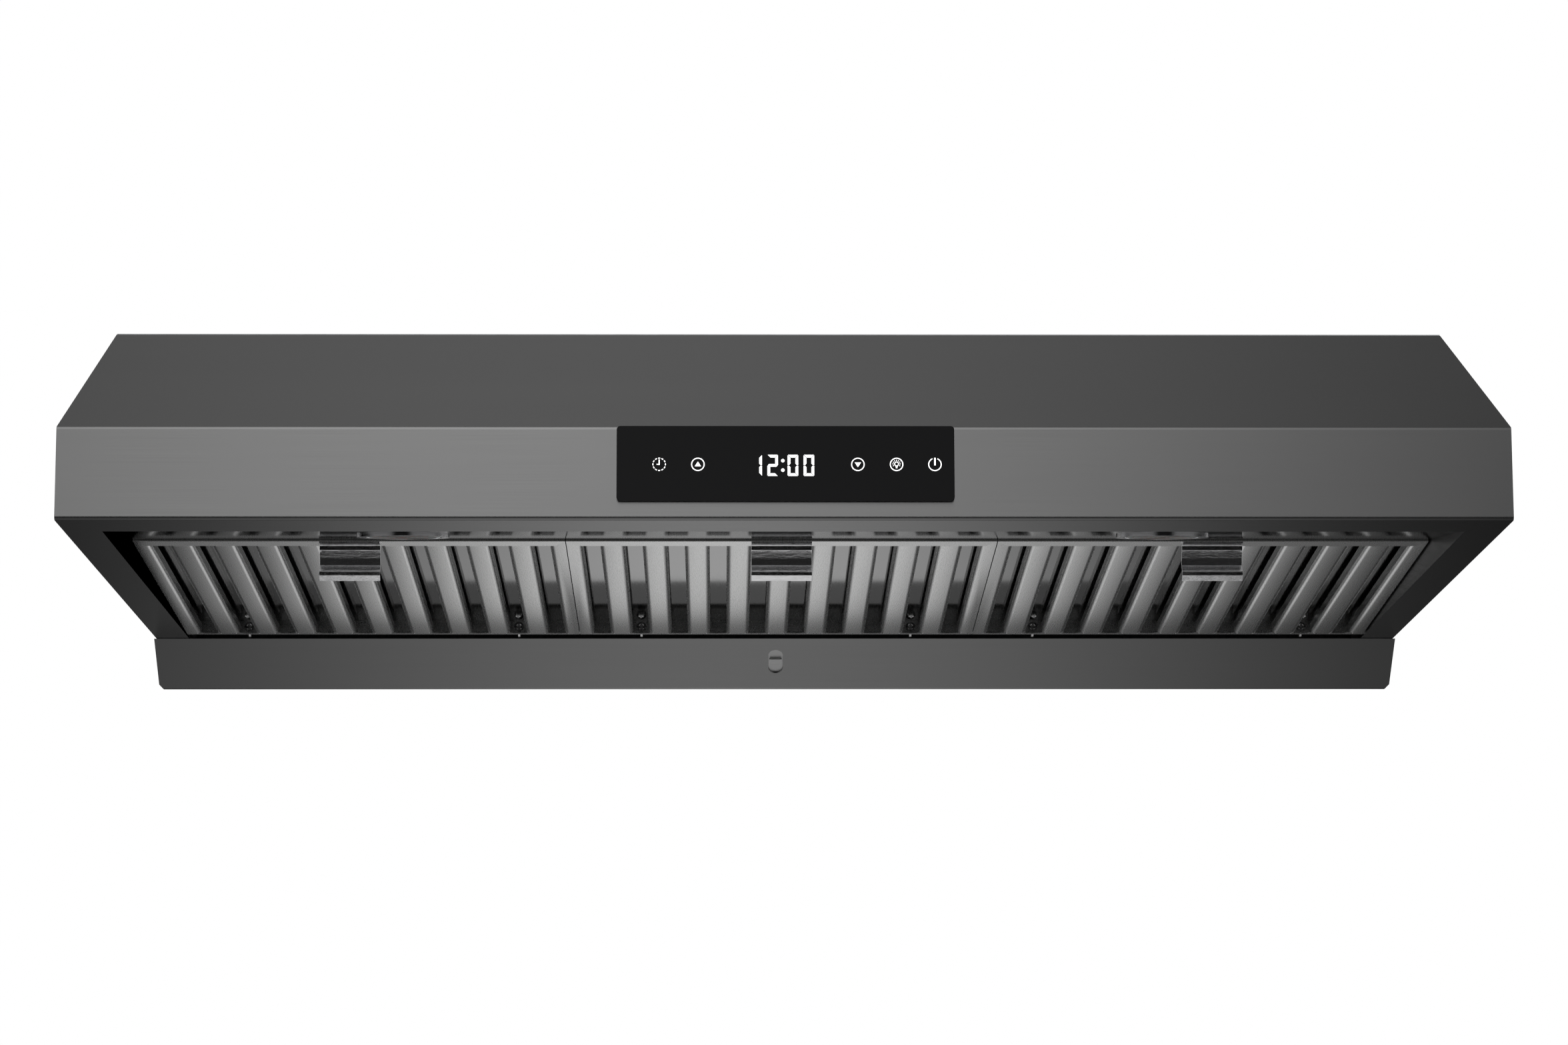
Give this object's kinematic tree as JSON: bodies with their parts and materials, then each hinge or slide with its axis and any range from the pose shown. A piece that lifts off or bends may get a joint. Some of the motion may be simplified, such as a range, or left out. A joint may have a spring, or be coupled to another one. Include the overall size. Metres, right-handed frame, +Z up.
{
  "type": "under cabinet range hood",
  "caption": "Wide under-cabinet range hood with a sloping front, glass touch panel, slotted baffle filters on a rear rod, a grease tray, recessed lamps and twin blowers.",
  "frame": {"origin": "centre of the rectangle of four cabinet screw holes, on the outside of the top panel", "axes": "+Z up, out of the top panel; +X to the right as seen from the cook; +Y to the wall, so the front faces -Y"},
  "size_m": [0.911, 0.562, 0.229],
  "materials": {
    "black_stainless": "dark stainless, fine horizontal brushing, clear coated",
    "latch_steel": "satin",
    "galvanised_steel": "galvanised, faint spangle",
    "polished_panel": "near-mirror polish",
    "wheel_steel": "galvanised, pressed",
    "spring_steel": "bright drawn",
    "filter_steel": "satin brushed along the bars",
    "baffle_steel": "bright, lightly brushed",
    "rivet_steel": "bright",
    "handle_chrome": "mirror bright",
    "black_glass": "opaque black printed on the back, polished face with white keys",
    "black_tape": "foam adhesive tape",
    "moulded_black": "moulded, fine grain",
    "circuit_board": "solder mask",
    "lit_keys": "white light through clear gaps in a black print: the keys and the clock",
    "lamp_chrome": "satin chrome",
    "lamp_lens": "frosted",
    "lamp_aluminium": "as cast",
    "motor_black": "baked enamel",
    "capacitor_white": "moulded case",
    "zinc_screws": "zinc plated"
  },
  "bodies": {
    "canopy": {"back_panel": "galvanised_steel", "blower_deck": "galvanised_steel", "blower_housing_left": "galvanised_steel", "blower_housing_right": "galvanised_steel", "blower_inlet_left": "galvanised_steel", "blower_inlet_right": "galvanised_steel", "canopy_skin": "black_stainless", "capacitor": "capacitor_white", "clock_display": "lit_keys", "collar_screws": "zinc_screws", "control_glass": "black_glass", "control_housing": "moulded_black", "control_tape": "black_tape", "cover_screws": "zinc_screws", "damper_pin": "spring_steel", "discharge_box": "galvanised_steel", "duct_collar": "galvanised_steel", "filter_catches": "spring_steel", "filter_hinge_rod": "spring_steel", "inner_front_panel": "polished_panel", "junction_box": "galvanised_steel", "junction_cover": "galvanised_steel", "knockout_cover": "galvanised_steel", "lamp_bezel_left": "lamp_chrome", "lamp_bezel_right": "lamp_chrome", "lamp_board_left": "circuit_board", "lamp_board_right": "circuit_board", "lamp_can_left": "lamp_aluminium", "lamp_can_right": "lamp_aluminium", "lamp_lens_left": "lamp_lens", "lamp_lens_right": "lamp_lens", "motor_left": "motor_black", "motor_right": "motor_black", "motor_screws": "zinc_screws", "side_panel_left": "black_stainless", "side_panel_right": "black_stainless", "top_panel": "galvanised_steel", "touch_board": "circuit_board"},
    "filter_left": {"filter_frame_left": "filter_steel", "filter_baffles_left": "baffle_steel", "filter_rivets_left": "rivet_steel", "filter_handle_left": "handle_chrome"},
    "filter_centre": {"filter_frame_centre": "filter_steel", "filter_baffles_centre": "baffle_steel", "filter_rivets_centre": "rivet_steel", "filter_handle_centre": "handle_chrome"},
    "filter_right": {"filter_frame_right": "filter_steel", "filter_baffles_right": "baffle_steel", "filter_rivets_right": "rivet_steel", "filter_handle_right": "handle_chrome"},
    "tray": {"grease_tray": "black_stainless"},
    "latch": {"tray_latch": "latch_steel"},
    "wheel_left": {"blower_wheel_left": "wheel_steel", "motor_shaft_left": "spring_steel"},
    "wheel_right": {"blower_wheel_right": "wheel_steel", "motor_shaft_right": "spring_steel"},
    "damper_front": {"damper_flap_front": "galvanised_steel"},
    "damper_rear": {"damper_flap_rear": "galvanised_steel"}
  },
  "joints": [
    {"name": "filter_left_tilt", "type": "hinge", "parent": "canopy", "child": "filter_left", "pos_m": [-0.2862, 0.09512, -0.17029], "axis": [1, 0, 0], "range_deg": [0, 70]},
    {"name": "filter_centre_tilt", "type": "hinge", "parent": "canopy", "child": "filter_centre", "pos_m": [0, 0.09512, -0.17029], "axis": [1, 0, 0], "range_deg": [0, 70]},
    {"name": "filter_right_tilt", "type": "hinge", "parent": "canopy", "child": "filter_right", "pos_m": [0.2862, 0.09512, -0.17029], "axis": [1, 0, 0], "range_deg": [0, 70]},
    {"name": "tray_slide", "type": "slide", "parent": "canopy", "child": "tray", "axis": [0, 0, -1], "range_m": [0, 0.05]},
    {"name": "latch_slide", "type": "slide", "parent": "tray", "child": "latch", "axis": [0, 0.7679, -0.6406], "range_m": [0, 0.0045], "stiffness_N_per_m": 700, "springref_m": -0.001},
    {"name": "wheel_left_spin", "type": "hinge", "parent": "canopy", "child": "wheel_left", "pos_m": [-0.225, -0.0115, -0.085], "axis": [0, 0, -1], "continuous": true},
    {"name": "wheel_right_spin", "type": "hinge", "parent": "canopy", "child": "wheel_right", "pos_m": [0.225, -0.0115, -0.085], "axis": [0, 0, 1], "continuous": true},
    {"name": "damper_front_swing", "type": "hinge", "parent": "canopy", "child": "damper_front", "pos_m": [0, 0.0385, -0.01], "axis": [-1, 0, 0], "range_deg": [0, 75]},
    {"name": "damper_rear_swing", "type": "hinge", "parent": "canopy", "child": "damper_rear", "pos_m": [0, 0.0385, -0.01], "axis": [1, 0, 0], "range_deg": [0, 75]}
  ]
}
